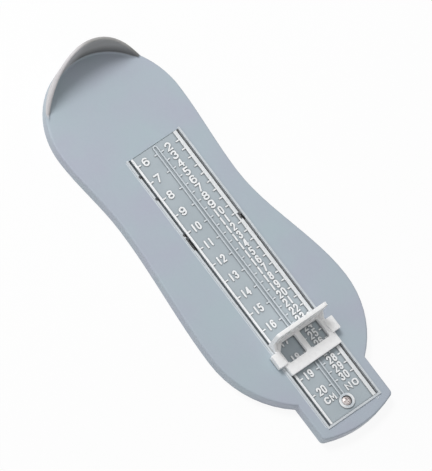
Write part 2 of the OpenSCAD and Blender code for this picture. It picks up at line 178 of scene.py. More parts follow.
def looked_at(tree):
    """1 for rays of the camera and for those mirrored or let through, 0 for all others."""
    rays = add(tree, "ShaderNodeLightPath").outputs
    mirrored = reckon(tree, "MAXIMUM", rays["Is Glossy Ray"], rays["Is Transmission Ray"])
    return reckon(tree, "MAXIMUM", rays["Is Camera Ray"], mirrored)


print("helpers: reckon, parts_of, looked_at")

# %% [markdown]
# ## The room
# The gauge was lit by a soft lamp beyond the heel, with a bright room all round. A lamp by
# itself would leave black slots, and a room by itself would leave no form, so the two share
# the work. A picture of a real room could give its light, but two greys blended by direction
# are easier to steer. The lighter one lies on the heel's outer side, where it fills the skirt
# and the slots.

# %% Room
bpy.context.scene.view_settings.view_transform = "Standard"
white = (1.0, 1.0, 1.0)
bright_side_light = (0.66, 0.66, 0.66)
dim_side_light = (0.26, 0.26, 0.26)
bright_side = Vector((-0.45, -0.85, 0.25)).normalized()
world = bpy.data.worlds.new("bright_room")
world.use_nodes = True
bpy.context.scene.world = world
room = world.node_tree
room.nodes.clear()
direction = add(room, "ShaderNodeTexCoord").outputs["Generated"]
facing = add(room, "ShaderNodeVectorMath", operation="DOT_PRODUCT")
feed(room, facing.inputs[0], direction)
facing.inputs[1].default_value = bright_side
towards_bright = spread(room, facing.outputs["Value"], -1.0, 1.0, soft=True)
room_light = add(room, "ShaderNodeBackground")
feed(room, room_light.inputs["Color"],
     blend_colours(room, towards_bright, dim_side_light, bright_side_light))
backdrop = add(room, "ShaderNodeBackground")
feed(room, backdrop.inputs["Color"], white)
choose = add(room, "ShaderNodeMixShader")
feed(room, choose.inputs[0], looked_at(room))
feed(room, choose.inputs[1], room_light.outputs[0])
feed(room, choose.inputs[2], backdrop.outputs[0])
feed(room, add(room, "ShaderNodeOutputWorld").inputs[0], choose.outputs[0])
print("room is brightest towards", [round(v, 2) for v in bright_side])

# %% [markdown]
# ## The lamp
# The lamp throws the shadow of the heel wall onto the plate. A sun would cut that shadow
# sharp, so the lamp is a wide disc, which blurs its edge as in the picture. Its power is
# worked out from its distance: it can be moved nearer or further, and the plate stays as
# bright as before.

# %% Lamp
lamp_distance = 1.2
lamp_size = 0.45
lamp_from = Vector((-0.57, -0.07, 0.81)).normalized()
lamp_share = 0.565
lamp = bpy.data.objects.new("soft_lamp", bpy.data.lights.new("soft_lamp", "AREA"))
lamp.data.shape = "DISK"
lamp.data.size = lamp_size
lamp.data.energy = lamp_share * (math.pi * lamp_distance) ** 2
lamp.location = lamp_from * lamp_distance
lamp.rotation_mode = "QUATERNION"
lamp.rotation_quaternion = lamp_from.to_track_quat("Z", "Y")
bpy.context.scene.collection.objects.link(lamp)
print("lamp power", round(lamp.data.energy, 2), "W")

# %% [markdown]
# ## The floor
# The gauge lies on a table. A sheet that ends just outside the picture would do for one
# view, but it would show its edge when the gauge is looked at from low down. One large sheet
# serves every view.

# %% Floor
floor_half = 4.0
floor_squares = 8
bm = bmesh.new()
bmesh.ops.create_grid(bm, x_segments=floor_squares, y_segments=floor_squares, size=floor_half)
floor_mesh = bpy.data.meshes.new("floor")
bm.to_mesh(floor_mesh)
bm.free()
floor = bpy.data.objects.new("floor", floor_mesh)
bpy.context.scene.collection.objects.link(floor)
print("floor of", 2 * floor_half, "m")

# %% [markdown]
# ## The table's finish
# The picture shows the table as plain white. A floor that only glowed would lose the shadow,
# and one that was only painted would look grey, so the camera sees mostly the glow with some
# of the painted floor mixed in. Beneath the panel the glow is faint, or the table would shine
# up through the slots. That dark patch is only on the floor's upper side, so nothing of it
# shows from below.

# %% Table top
floor_white = (0.9, 0.9, 0.9)
glow_share = 0.9
glow_beneath = 0.05
dark_margin = 3 * mm
table_top = bpy.data.materials.new("table_top")
table_top.use_nodes = True
tree = table_top.node_tree
tree.nodes.clear()
paint = add(tree, "ShaderNodeBsdfDiffuse")
feed(tree, paint.inputs["Color"], floor_white)
glow = add(tree, "ShaderNodeEmission")
feed(tree, glow.inputs["Color"], white)
place = parts_of(tree, add(tree, "ShaderNodeTexCoord").outputs["Object"])
panel_middle = (panel_low + panel_high) / 2
panel_reach = (panel_high - panel_low) / 2
beneath = [reckon(tree, "COMPARE", place[axis], panel_middle[i], panel_reach[i] + dark_margin)
           for i, axis in enumerate("XY")]
open_floor = reckon(tree, "SUBTRACT", 1.0, reckon(tree, "MULTIPLY", *beneath))
from_below = add(tree, "ShaderNodeNewGeometry").outputs["Backfacing"]
least_glow = reckon(tree, "MAXIMUM", from_below, glow_beneath)
glowing = reckon(tree, "MAXIMUM", open_floor, least_glow)
seen = reckon(tree, "MULTIPLY", looked_at(tree), glow_share)
both = add(tree, "ShaderNodeMixShader")
feed(tree, both.inputs[0], reckon(tree, "MULTIPLY", seen, glowing))
feed(tree, both.inputs[1], paint.outputs[0])
feed(tree, both.inputs[2], glow.outputs[0])
feed(tree, add(tree, "ShaderNodeOutputMaterial").inputs[0], both.outputs[0])
floor_mesh.materials.append(table_top)
print("table top:", len(tree.nodes), "nodes")

# %% [markdown]
# ## Layers of a finish
# A single flat colour would look like paint on a screen, so every finish here is built in
# layers: wide soft blotches from the way the plastic flowed, a fine grain, and painted shade
# in the corners. Photographs of plastic could be wrapped round the solids, but they would have to
# be unwrapped first. Noise in the object's own space needs no picture and stays put when the
# part moves.

# %% Layer helpers
# Noise keeps near its middle value, so it is stretched from one of these ranges
soft_range, sharp_range = (0.3, 0.7), (0.35, 0.65)
# How much of its surroundings a point sees in a corner and on an open face
corner_light, open_light = 0.45, 0.95


def new_finish(name):
    """A material's tree and its principled shader."""
    material = bpy.data.materials.new(name)
    material.use_nodes = True
    return material, material.node_tree, material.node_tree.nodes["Principled BSDF"]


def object_point(tree):
    """The shaded point in the object's own space, in metres."""
    return add(tree, "ShaderNodeTexCoord").outputs["Object"]


def grain(tree, point, size, detail=2.0, shift=0.0):
    """Noise with blotches of about the given size in metres; a shift gives other ones."""
    place = add(tree, "ShaderNodeMapping")
    feed(tree, place.inputs["Vector"], point)
    place.inputs["Location"].default_value = (shift, shift, shift)
    node = add(tree, "ShaderNodeTexNoise")
    feed(tree, node.inputs["Vector"], place.outputs[0])
    feed(tree, node.inputs["Scale"], 1 / size)
    feed(tree, node.inputs["Detail"], detail)
    return node.outputs["Fac"]


def emboss(tree, height, depth, under=None):
    """A bump of the given depth in metres, laid over another one if there is one."""
    node = add(tree, "ShaderNodeBump")
    feed(tree, node.inputs["Distance"], depth)
    feed(tree, node.inputs["Height"], height)
    if under is not None:
        feed(tree, node.inputs["Normal"], under)
    return node.outputs["Normal"]


def crevices(tree, reach, share):
    """The share of painted shade in corners, falling to 0 on open faces."""
    node = add(tree, "ShaderNodeAmbientOcclusion", samples=8)
    feed(tree, node.inputs["Distance"], reach)
    corner = spread(tree, node.outputs["AO"], corner_light, open_light, 1.0, 0.0)
    return reckon(tree, "MULTIPLY", corner, share)


print("noise is stretched from", soft_range, "or", sharp_range)

# %% [markdown]
# ## Satin plastic
# The plate and the panel are satin mouldings. Under a low light such a skin shows three
# things: a gloss that varies from place to place, the fine texture of the mould, and a slow
# waviness where the plastic sank above the ribs. A sculpted surface would carry all three,
# but they are far too shallow to be worth the faces, so they are bumps.

# %% Satin surface
satin_low, satin_high = 0.42, 0.55
gloss_size = 7 * mm
sink_size, sink_depth = 30 * mm, 0.2 * mm
texture_size, texture_depth = 0.45 * mm, 0.015 * mm
plate_ior = 1.46


def satin(tree, shader, point, colour):
    """Lays the shared satin surface over a colour."""
    feed(tree, shader.inputs["Base Color"], colour)
    gloss = grain(tree, point, gloss_size, shift=0.5)
    feed(tree, shader.inputs["Roughness"], spread(tree, gloss, *soft_range, satin_low, satin_high))
    wavy = emboss(tree, grain(tree, point, sink_size, detail=1.0), sink_depth)
    fine = emboss(tree, grain(tree, point, texture_size), texture_depth, wavy)
    feed(tree, shader.inputs["Normal"], fine)
    shader.inputs["IOR"].default_value = plate_ior


print("satin roughness from", satin_low, "to", satin_high)

# %% [markdown]
# ## Where the slots are
# The sides of both slots are painted pale: painted light that lifts the shade inside them.
# Those sides are narrow faces, and picking them out by hand would have to be done again
# whenever the plate is made anew. A mask worked out from the place of each point needs only
# the slots' middle line and ends.

# %% A mask for the slots
plate_top = face_z + 0.2 * mm
lip_softness = 0.06 * mm
slot_middle = half_panel + 0.7 * mm
slot_reach = 0.75 * mm
slot_start = panel_low.x + 2.6 * mm
slots_middle = (slot_start + panel_high.x) / 2
slots_half = (panel_high.x - slot_start) / 2


def in_slots(tree, place):
    """1 on the sides of both slots below the plate's top, 0 elsewhere."""
    off_axis = reckon(tree, "ABSOLUTE", reckon(tree, "SUBTRACT", place["Y"], scale_axis_y))
    across = reckon(tree, "COMPARE", off_axis, slot_middle, slot_reach)
    along = reckon(tree, "COMPARE", place["X"], slots_middle, slots_half)
    below = reckon(tree, "LESS_THAN", place["Z"], plate_top - lip_softness)
    return reckon(tree, "MULTIPLY", reckon(tree, "MULTIPLY", across, along), below)


print("slots from x", round(slot_start / mm, 1), "to", round(panel_high.x / mm, 1), "mm")

# %% [markdown]
# ## Painted shade in the nicks
# Each slot has one wider gap, where a hook of the toe stop was put in, and the outer slot has
# three small nicks besides. They open into the dark inside of the shell, and that shade is
# painted in near black. Shade laid by a mask of corners would darken the whole slot, so the
# list of their places on the scale makes a mask of its own.

# %% Painted shade in nicks and gaps
# Near black: the painted shade of the holes
painted_hole_shade = (0.015, 0.015, 0.015)
hole_shade_top = plate_top - 0.4 * mm
hole_shade_reach = 1.9 * mm
hole_shade_margin = 0.1 * mm
nick_long = 1.6 * mm
outer_side, arch_side = -1, 1
# The side of each nick or gap, where it starts on the scale, and its length
shaded_hole_places = [
    (outer_side, 64.4 * mm, nick_long),
    (outer_side, 77.8 * mm, nick_long),
    (outer_side, 99.9 * mm, nick_long),
    (outer_side, 103.0 * mm, 6.7 * mm),
    (arch_side, 106.5 * mm, 3.2 * mm),
]


def greased(tree, place, tone):
    """Blends a colour to painted near-black shade inside the nicks and the hooks' gaps."""
    covered = 0.0
    for side, start, long in shaded_hole_places:
        middle_x = scale_zero_x + start + long / 2
        middle_y = scale_axis_y + side * slot_middle
        along = reckon(tree, "COMPARE", place["X"], middle_x, long / 2 + hole_shade_margin)
        across = reckon(tree, "COMPARE", place["Y"], middle_y, hole_shade_reach)
        covered = reckon(tree, "MAXIMUM", covered, reckon(tree, "MULTIPLY", along, across))
    below = reckon(tree, "LESS_THAN", place["Z"], hole_shade_top)
    return blend_colours(tree, reckon(tree, "MULTIPLY", covered, below), tone, painted_hole_shade)


# The count of holes whose shade is painted
print(len(shaded_hole_places), "greasy places")

# %% [markdown]
# ## The plate's colour
# The flat of the plate is blue-grey, in soft blotches that lean to lilac or to green. On its
# heel wall, light and shade are painted into a warm grey: painted shade on the arch side,
# darkest at the wall's foot, and painted light on the outer side. The wall could be picked out
# with a painted mask, but it is the only large thing that stands above the flat, so height
# does the same job with one pair of numbers.

# %% Plate plastic, flat and wall
plate_lilac = (0.415, 0.445, 0.525)
plate_green = (0.405, 0.485, 0.530)
plate_pale = (0.445, 0.500, 0.560)
blotch_size, fleck_size = 24 * mm, 1.1 * mm
fleck_range, fleck_share = (0.35, 0.75), 0.25
# Painted shade and painted light of the heel wall: darkest at its foot, lighter on the outer side
wall_foot_painted_shade = (0.16, 0.16, 0.16)
wall_painted_shade = (0.38, 0.375, 0.37)
wall_painted_light = (0.58, 0.565, 0.575)
wall_lit_y, wall_shade_y = -12 * mm, 0 * mm
wall_from, wall_to, wall_foot_shade_top = [plate_top + h * mm for h in (0.15, 0.9, 9)]

plate_finish, tree, shader = new_finish("plate_satin")
point = object_point(tree)
place = parts_of(tree, point)
tone = blend_colours(tree, spread(tree, grain(tree, point, blotch_size), *soft_range),
                     plate_lilac, plate_green)
flecks = spread(tree, grain(tree, point, fleck_size, shift=0.3), *fleck_range, 0.0, fleck_share)
tone = blend_colours(tree, flecks, tone, plate_pale)
up_wall = spread(tree, place["Z"], wall_to, wall_foot_shade_top)
wall_painted_tone = blend_colours(tree, up_wall, wall_foot_painted_shade, wall_painted_shade)
along_wall = spread(tree, place["Y"], wall_lit_y, wall_shade_y, soft=True)
wall_painted_tone = blend_colours(tree, along_wall, wall_painted_light, wall_painted_tone)
on_wall = spread(tree, place["Z"], wall_from, wall_to, soft=True)
tone = blend_colours(tree, on_wall, tone, wall_painted_tone)
# Painted light covers the outer side of the wall up to this y
print("wall is faded up to y", round(wall_lit_y / mm), "mm")

# %% [markdown]
# ## Painted light and shade on the plate
# The lip round the slots is painted lighter as a highlight, and a pale strip beside the outer
# lip is painted light over the shade at the lip's foot. The sides of both slots are painted
# light too. All this could be painted on with a brush, but masks worked out from the slots'
# own places stay beside the slots when the plate changes. Noise thins the painted light in
# patches. Last comes a little painted shade in the corners.

# %% Plate plastic, painted light and shade
# Painted highlight for the lip, and painted light for the strip beside it
lip_painted_highlight = (0.64, 0.68, 0.71)
# Painted light for the slots' sides
slot_painted_light = (0.86, 0.87, 0.88)
# Painted shade for the corners
painted_corner_shade = (0.22, 0.24, 0.25)
strip_y, strip_half = scale_axis_y - 16.5 * mm, 0.8 * mm
wall_end_x, lip_start_x = panel_low.x - 4 * mm, panel_low.x - 3 * mm
patch_size, least_painted_light = 3 * mm, 0.7
shade_reach, shade_share = 0.8 * mm, 0.1

raised = spread(tree, place["Z"], plate_top + lip_softness, plate_top + 3 * lip_softness)
past_wall = spread(tree, place["X"], wall_end_x, lip_start_x)
on_lip = reckon(tree, "MULTIPLY", raised, past_wall)
beside_lip = reckon(tree, "MULTIPLY",
                    reckon(tree, "COMPARE", place["Y"], strip_y, strip_half),
                    reckon(tree, "COMPARE", place["X"], slots_middle, slots_half))
on_top = spread(tree, place["Z"], plate_top - lip_softness, plate_top)
painted_light_mask = reckon(tree, "MAXIMUM", on_lip, reckon(tree, "MULTIPLY", beside_lip, on_top))
patchy = spread(tree, grain(tree, point, patch_size, shift=0.7), *soft_range, least_painted_light, 1.0)
# Painted highlight on the lip and painted light on the strip beside the outer lip
tone = blend_colours(tree, reckon(tree, "MULTIPLY", painted_light_mask, patchy), tone, lip_painted_highlight)
# Painted light on the sides of the slots, against their shade
tone = blend_colours(tree, in_slots(tree, place), tone, slot_painted_light)
# Painted shade in the nicks and gaps
tone = greased(tree, place, tone)
# Painted shade: corners darken by how little of the room they see
tone = blend_colours(tree, crevices(tree, shade_reach, shade_share), tone, painted_corner_shade)
satin(tree, shader, point, tone)
print("plate finish:", len(tree.nodes), "nodes")

# %% [markdown]
# ## The panel's plastic
# The scale panel is a second moulding of the same plastic, from a mould of its own, and a
# little less blue. It could share the plate's finish, but its raised marks need a mask that
# the plate has no use for. So it gets a finish of its own, on the same satin surface.

# %% Panel plastic, flat
panel_deep = (0.385, 0.440, 0.475)
panel_pale = (0.430, 0.485, 0.520)
panel_blotch_size = 14 * mm

panel_finish, tree, shader = new_finish("panel_satin")
point = object_point(tree)
place = parts_of(tree, point)
tone = blend_colours(tree, spread(tree, grain(tree, point, panel_blotch_size), *soft_range),
                     panel_deep, panel_pale)
print("panel blotches of", round(panel_blotch_size / mm), "mm")

# %% [markdown]
# ## The panel's highlighted marks
# The numbers, ticks and lips stand above the panel's face, and their tops are painted nearly
# white as a highlight. A mask for each mark would be slow to paint; a mask by height catches
# all of them at once, the way ink on a roller would. How much painted highlight they get
# depends on where they lie across the panel: the outer lip and the numbers most, the lip on
# the arch side less, and the long bead in the middle least. Painted shade darkens their feet.

# %% Panel plastic, highlighted marks
# Painted shade at the marks' feet
panel_painted_shade = (0.12, 0.13, 0.135)
mark_level = face_z + 0.13 * mm
mark_patch_size, least_highlight = 1.6 * mm, 0.8
foot_reach, foot_shade_share = 1.1 * mm, 0.7
# From -1 at the panel's outer edge to 1 at its arch edge, with the painted highlight's white for
# what stands there
highlight_across = [
    (-1.00, (0.95, 0.96, 0.97)),
    (-0.88, (0.94, 0.95, 0.96)),
    (-0.25, (0.95, 0.96, 0.97)),
    (-0.10, (0.58, 0.63, 0.67)),
    (0.10, (0.60, 0.65, 0.69)),
    (0.25, (0.94, 0.95, 0.96)),
    (0.80, (0.90, 0.91, 0.92)),
    (1.00, (0.76, 0.78, 0.79)),
]

across = spread(tree, place["Y"], scale_axis_y - half_panel, scale_axis_y + half_panel)
highlight_whites = add(tree, "ShaderNodeValToRGB")
feed(tree, highlight_whites.inputs[0], across)
stops = highlight_whites.color_ramp.elements
while len(stops) < len(highlight_across):
    stops.new(0.5)
for stop, (side, colour) in zip(stops, highlight_across):
    stop.position = (side + 1) / 2
    stop.color = (*colour, 1)
raised = spread(tree, place["Z"], mark_level - lip_softness, mark_level + lip_softness)
patchy = spread(tree, grain(tree, point, mark_patch_size, shift=0.7), *soft_range,
                least_highlight, 1.0)
# Painted highlight on the raised tops
tone = blend_colours(tree, reckon(tree, "MULTIPLY", raised, patchy), tone, highlight_whites.outputs[0])
# Painted shade at the feet of the marks
tone = blend_colours(tree, crevices(tree, foot_reach, foot_shade_share), tone, panel_painted_shade)
# Painted shade in the nicks and gaps, on the panel's side too
satin(tree, shader, point, greased(tree, place, tone))
print("marks are white above z", round(mark_level / mm, 2), "mm")

# %% [markdown]
# ## The screw's steel
# The screw is plated steel, turned on a lathe, so its sheen has fine rings. Rings can be cut
# as real grooves, but at this size a wave in the bump looks the same. Handling has stained
# the plating, and the stains are a little rougher than the bright places.

# %% Screw steel
bright_steel = (0.60, 0.56, 0.55)
stained_steel = (0.44, 0.39, 0.38)
stain_size, stain_detail = 1.4 * mm, 3.0
steel_low, steel_high = 0.38, 0.52
ring_width, ring_wobble, ring_depth = 0.9 * mm, 1.5, 0.008 * mm
screw_low, screw_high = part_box("panel_screw")

screw_finish, tree, shader = new_finish("plated_steel")
point = object_point(tree)
from_centre = add(tree, "ShaderNodeVectorMath", operation="SUBTRACT")
feed(tree, from_centre.inputs[0], point)
from_centre.inputs[1].default_value = (screw_low + screw_high) / 2
rings = add(tree, "ShaderNodeTexWave", wave_type="RINGS", rings_direction="Z")
feed(tree, rings.inputs["Vector"], from_centre.outputs[0])
feed(tree, rings.inputs["Scale"], 1 / ring_width)
feed(tree, rings.inputs["Distortion"], ring_wobble)
stain = grain(tree, point, stain_size, detail=stain_detail)
steel = blend_colours(tree, spread(tree, stain, *sharp_range), bright_steel, stained_steel)
feed(tree, shader.inputs["Base Color"], steel)
feed(tree, shader.inputs["Roughness"], spread(tree, stain, *soft_range, steel_low, steel_high))
feed(tree, shader.inputs["Normal"], emboss(tree, rings.outputs["Fac"], ring_depth))
shader.inputs["Metallic"].default_value = 1.0
print("steel finish:", len(tree.nodes), "nodes")

# %% [markdown]
# ## The toe stop's white
# The toe stop is a glossier white moulding: smoother than the plate, with a faint change of
# white where hands have held it. White plastic lets a little light through, which keeps its
# shaded faces bright. Brighter paint alone would make its lit faces glare, so the light is
# let about a millimetre into the surface instead.

# %% Slider white
cool_white = (0.98, 0.98, 0.99)
warm_white = (0.99, 0.98, 0.97)
held_size = 9 * mm
slider_shade_share = 0.12
sheen_size, sheen_low, sheen_high = 3 * mm, 0.24, 0.34
slider_wave, slider_wave_depth = 14 * mm, 0.05 * mm
slider_grain, slider_grain_depth = 0.8 * mm, 0.003 * mm
slider_ior = 1.49
glow_depth = 1 * mm

slider_finish, tree, shader = new_finish("gloss_white")
point = object_point(tree)
tone = blend_colours(tree, spread(tree, grain(tree, point, held_size), *sharp_range),
                     cool_white, warm_white)
# Painted shade darkens the toe stop's corners
tone = blend_colours(tree, crevices(tree, shade_reach, slider_shade_share), tone, painted_corner_shade)
feed(tree, shader.inputs["Base Color"], tone)
sheen = grain(tree, point, sheen_size, shift=0.2)
feed(tree, shader.inputs["Roughness"], spread(tree, sheen, *soft_range, sheen_low, sheen_high))
wavy = emboss(tree, grain(tree, point, slider_wave, detail=1.0), slider_wave_depth)
fine = emboss(tree, grain(tree, point, slider_grain), slider_grain_depth, wavy)
feed(tree, shader.inputs["Normal"], fine)
shader.inputs["IOR"].default_value = slider_ior
shader.inputs["Subsurface Weight"].default_value = 1.0
shader.inputs["Subsurface Radius"].default_value = (1, 1, 1)
shader.inputs["Subsurface Scale"].default_value = glow_depth
print("finishes:", [m.name for m in bpy.data.materials])

# %% [markdown]
# ## Round stretches
# The solids are made of flat facets, also where the real thing is round. Shading everything
# smooth would blur the true edges with the false ones, and marking the true edges by hand
# would be lost with the next solid. A small group of nodes tells them apart by the angle
# between two facets, and it serves the solids and the added pieces alike.

# %% Smooth where it is round
smooth_below = math.radians(32)
smooth = bpy.data.node_groups.new("smooth_round_stretches", "GeometryNodeTree")
for side in ("INPUT", "OUTPUT"):
    smooth.interface.new_socket("Geometry", in_out=side, socket_type="NodeSocketGeometry")
group_in = smooth.nodes.new("NodeGroupInput")
group_out = smooth.nodes.new("NodeGroupOutput")
edge_angle = smooth.nodes.new("GeometryNodeInputMeshEdgeAngle")
is_round = smooth.nodes.new("FunctionNodeCompare")
is_round.operation = "LESS_THAN"
is_round.inputs["B"].default_value = smooth_below
all_faces = smooth.nodes.new("GeometryNodeSetShadeSmooth")
round_edges = smooth.nodes.new("GeometryNodeSetShadeSmooth")
round_edges.domain = "EDGE"
smooth.links.new(group_in.outputs[0], all_faces.inputs["Geometry"])
smooth.links.new(all_faces.outputs[0], round_edges.inputs["Geometry"])
smooth.links.new(edge_angle.outputs["Unsigned Angle"], is_round.inputs["A"])
smooth.links.new(is_round.outputs["Result"], round_edges.inputs["Shade Smooth"])
smooth.links.new(round_edges.outputs[0], group_out.inputs[0])
print("smooth below", round(math.degrees(smooth_below)), "degrees")

# %% [markdown]
# ## Breaking the edges
# No moulded edge is truly sharp, and the broken edge is what catches the light. The solids
# arrive with every face cut loose from its neighbours, so they are first welded. Then the
# sharp edges are bevelled, and the round stretches are shaded smooth. The flats are cut into
# long thin triangles, which would show as streaks of shade, so each corner's normal goes by
# its largest faces and the flats come out even. All of these are modifiers: they can be
# changed later, and the solids underneath stay as they are.

# %% Welded, bevelled and even
weld_reach = 0.002 * mm
edge_steps = 2
largest_faces_only = 100


def break_edges(solid, width):
    """Welds a solid, rounds its sharp edges by the width and evens out its flats."""
    for name in [a.name for a in solid.data.attributes if a.name == "custom_normal"]:
        solid.data.attributes.remove(solid.data.attributes[name])
    solid.modifiers.new("weld", "WELD").merge_threshold = weld_reach
    bevel = solid.modifiers.new("broken_edge", "BEVEL")
    bevel.width = width
    bevel.segments = edge_steps
    bevel.limit_method = "ANGLE"
    bevel.angle_limit = smooth_below
    bevel.use_clamp_overlap = True
    solid.modifiers.new("smooth", "NODES").node_group = smooth
    even = solid.modifiers.new("even_flats", "WEIGHTED_NORMAL")
    even.keep_sharp = True
    even.weight = largest_faces_only


print("each broken edge has", edge_steps, "steps")

# %% [markdown]
# ## Dressing the solids
# Every solid gets its finish and broken edges as wide as on the real piece: the toe stop has
# the softest edges, the panel and the screw the crispest. The same lines written out four
# times would do, but a table with a loop keeps the four side by side, where they can be
# compared.

# %% Dressing the solids
# Of each solid, the record's slot, the finish and the width of its broken edges
dress = {
    "sole_plate": ("plate_plastic", plate_finish, 0.18 * mm),
    "scale_panel": ("panel_plastic", panel_finish, 0.12 * mm),
    "panel_screw": ("screw_metal", screw_finish, 0.12 * mm),
    "toe_slider": ("slider_plastic", slider_finish, 0.25 * mm),
}
for node_name, (slot_name, finish, edge) in dress.items():
    solid = nodes[node_name]
    solid.data.materials.clear()
    solid.data.materials.append(finish)
    break_edges(solid, edge)
print("edges broken by", {n: round(d[2] / mm, 2) for n, d in dress.items()}, "mm")

# %% [markdown]
# ## Numbers cut with one round tool
# The numbers on such a scale are cut into the mould with a small round cutter that follows
# single lines, so every stroke has the same width and a round end. A printed font would be
# wrong: its strokes swell and taper. Here each figure is a few lines and arcs in a box one
# wide and one high, and a small routine gives each line its width and height.

# %% The strokes of each figure
def bow(cx, cy, rx, ry, start, end, steps=10):
    """Points on an arc, its angles in degrees and anticlockwise from the right."""
    turns = [math.radians(start + (end - start) * i / steps) for i in range(steps + 1)]
    return [(cx + rx * math.cos(t), cy + ry * math.sin(t)) for t in turns]


def loop(cx, cy, rx, ry, steps=20):
    """Points on a closed oval; the last one isn't repeated."""
    return bow(cx, cy, rx, ry, 90, 450, steps)[:-1]


tall_loop = bow(0.5, 0.68, 0.5, 0.32, 0, 180) + bow(0.5, 0.32, 0.5, 0.32, 180, 360)
six = [(loop(0.5, 0.30, 0.5, 0.30), True),
       (bow(0.5, 0.68, 0.5, 0.32, 30, 180) + [(0, 0.34)], False)]
figures = {
    "0": [(tall_loop, True)],
    "1": [([(0.5, 0), (0.5, 1)], False)],
    "2": [(bow(0.5, 0.70, 0.5, 0.30, 170, -35) + [(0, 0), (1, 0)], False)],
    "3": [(bow(0.5, 0.76, 0.46, 0.24, 165, -80), False),
          (bow(0.5, 0.27, 0.5, 0.27, 80, -165), False)],
    "4": [([(0.72, 0), (0.72, 1)], False), ([(0.62, 0.95), (0, 0.30), (1, 0.30)], False)],
    "5": [([(0.95, 1), (0.12, 1), (0.06, 0.60)], False),
          (bow(0.45, 0.32, 0.52, 0.32, 128, -150), False)],
    "6": six,
    "7": [([(0, 1), (1, 1), (0.35, 0)], False)],
    "8": [(loop(0.5, 0.77, 0.44, 0.23), True), (loop(0.5, 0.27, 0.5, 0.27), True)],
    "9": [([(1 - x, 1 - y) for x, y in line], closed) for line, closed in six],
    "C": [(bow(0.5, 0.68, 0.5, 0.32, 20, 180) + bow(0.5, 0.32, 0.5, 0.32, 180, 340), False)],
    "M": [([(0, 0), (0, 1), (0.5, 0.35), (1, 1), (1, 0)], False)],
    "N": [([(0, 0), (0, 1), (1, 0), (1, 1)], False)],
    "O": [(tall_loop, True)],
}
print("figures:", "".join(sorted(figures)))

# %% [markdown]
# ## The outline of a stroke
# Seen from above, a stroke is a band with two round ends, as the round cutter leaves it. A
# curve with a bevel would make the band, but would cut its ends flat. So the way to the left
# side is worked out at each point of the line, and the outline runs along one side, half a
# turn around the end, back along the other side and half a turn around the start.

# %% The outline of a stroke
stroke_half = 0.47 * mm
cap_steps = 6
sharpest_mitre = 0.6


def side_steps(line, closed):
    """For each point of a line, the way to its left side, longer where the line turns."""
    count = len(line)
    steps = []
    for i, here in enumerate(line):
        before = line[i - 1] if closed or i > 0 else here
        after = line[(i + 1) % count] if closed or i < count - 1 else here
        into = (here - before if before != here else after - here).normalized()
        out = (after - here if after != here else into).normalized()
        left_in, left_out = Vector((-into.y, into.x)), Vector((-out.y, out.x))
        middle = (left_in + left_out).normalized()
        steps.append(middle / max(middle.dot(left_in), sharpest_mitre))
    return steps


def ring_around(line, steps, half):
    """The outline of an open line at a distance, with a round end at both ends."""
    def cap(end, step):
        turns = [-math.pi * k / cap_steps for k in range(1, cap_steps)]
        return [end + Matrix.Rotation(turn, 2) @ step * half for turn in turns]
    left = [p + s * half for p, s in zip(line, steps)]
    right = [p - s * half for p, s in zip(line, steps)]
    return left + cap(line[-1], steps[-1]) + right[::-1] + cap(line[0], -steps[0])


print("strokes are", round(2 * stroke_half / mm, 2), "mm wide")

# %% [markdown]
# ## From an outline to a ridge
# Each stroke is a little ridge with steep sides and a rounded crown. Extruding its outline
# straight up would leave a sharp rim, which no rubbed mark has. So the outline is drawn
# again at several heights, wide at the foot and narrower at the crown, and faces join the
# rings. A closed line, such as the one of a 0, has an outer and an inner ring instead.

# %% Raised strokes
stroke_high = 0.55 * mm
stroke_foot = 0.15 * mm
# A share of the stroke's half width, and the height above the panel's face
ridge = [
    (1.00, -stroke_foot),
    (1.00, 0.55 * stroke_high),
    (0.92, 0.86 * stroke_high),
    (0.70, 1.00 * stroke_high),
]


def wall_between(bm, low, high):
    """Faces between two rings of the same number of corners."""
    for i in range(len(low)):
        j = (i + 1) % len(low)
        bm.faces.new((low[i], low[j], high[j], high[i]))


def raise_stroke(bm, line, closed, place):
    """Adds one stroke to bm; place turns a point of the line and a height into space."""
    steps = side_steps(line, closed)
    levels = []
    for share, height in ridge:
        half = stroke_half * share
        rings = [ring_around(line, steps, half)]
        if closed:
            rings = [[p + s * way * half for p, s in zip(line, steps)] for way in (1, -1)]
        levels.append([[bm.verts.new(place(p, height)) for p in ring] for ring in rings])
    for low, high in zip(levels, levels[1:]):
        for low_ring, high_ring in zip(low, high):
            wall_between(bm, low_ring, high_ring)
    for level in (levels[0], levels[-1]):
        if closed:
            wall_between(bm, *level)
        else:
            bm.faces.new(level[0])


print("ridges are", round(stroke_high / mm, 2), "mm high")

# %% [markdown]
# ## A finished piece
# Words and mould marks end the same way: their faces are turned outwards, the mesh gets a
# finish, and the piece is fixed to the plate. Doing that by hand for each piece is how one of
# them gets forgotten, so one helper does it for all.

# %% Finishing a piece
def finished_piece(name, bm, finish):
    """Makes bm a piece of the plate with a finish and smooth round stretches."""
    bmesh.ops.recalc_face_normals(bm, faces=bm.faces)
    mesh = bpy.data.meshes.new(name)
    bm.to_mesh(mesh)
    bm.free()
    piece = bpy.data.objects.new(name, mesh)
    bpy.context.scene.collection.objects.link(piece)
    mesh.materials.append(finish)
    piece.modifiers.new("smooth", "NODES").node_group = smooth
    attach(piece, "plate")
    print(name, "has", len(mesh.polygons), "faces")


print("pieces ride on the plate")

# %% [markdown]
# ## Setting a word
# The numbers are read with the scale lying across, heel end up, so a figure's top points to
# the heel and its reading direction runs across the plate. Text objects could be turned that
# way too, but their letters come from a font. Here each figure of a word is raised stroke by
# stroke, and the word is centred on its own tick. Where two strokes of a figure cross, the
# second is a hair lower, so that no two faces coincide.

# %% Setting a word
figure_high = 4.6 * mm
lower_each = 0.02 * mm


